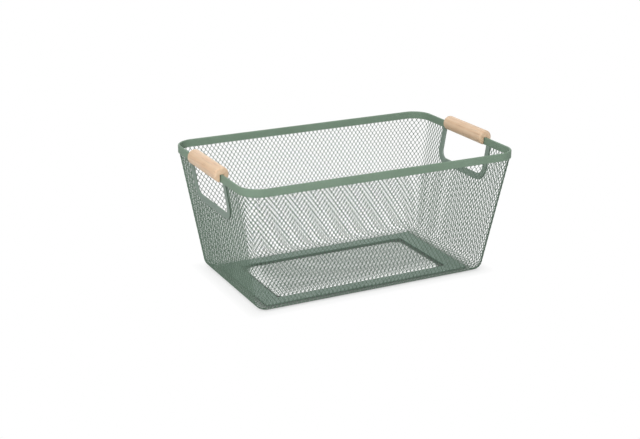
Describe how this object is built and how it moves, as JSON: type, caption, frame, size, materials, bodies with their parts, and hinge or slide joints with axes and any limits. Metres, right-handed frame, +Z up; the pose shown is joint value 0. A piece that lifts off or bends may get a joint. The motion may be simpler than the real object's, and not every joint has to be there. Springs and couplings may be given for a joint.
{
  "type": "storage basket",
  "caption": "Open rectangular storage basket with tapering expanded-metal walls, a folded rim, hand holes in both ends and wooden grips over the rim.",
  "frame": {"origin": "on the floor, under the middle of the basket", "axes": "+X along the basket from grip to grip, +Y across it, +Z up"},
  "size_m": [0.37, 0.225, 0.165],
  "materials": {
    "rim_strip": "sage green powder coat, satin",
    "wall_mesh": "sage green powder coat on expanded sheet, satin",
    "base_mesh": "sage green powder coat on expanded sheet, satin",
    "base_steel": "sage green powder coat, satin",
    "trim_strip": "sage green powder coat, satin",
    "grip_wood": "pale wood, fine straight grain, matt clear finish"
  },
  "bodies": {
    "root": {"rim_channel": "rim_strip", "front_wall_mesh": "wall_mesh", "back_wall_mesh": "wall_mesh", "left_end_mesh": "wall_mesh", "right_end_mesh": "wall_mesh", "front_left_corner_mesh": "wall_mesh", "front_right_corner_mesh": "wall_mesh", "back_left_corner_mesh": "wall_mesh", "back_right_corner_mesh": "wall_mesh", "foot_bend_mesh": "wall_mesh", "base_panel_mesh": "base_mesh", "base_frame": "base_steel", "left_hand_hole_trim": "trim_strip", "right_hand_hole_trim": "trim_strip", "left_grip": "grip_wood", "right_grip": "grip_wood"}
  },
  "joints": []
}
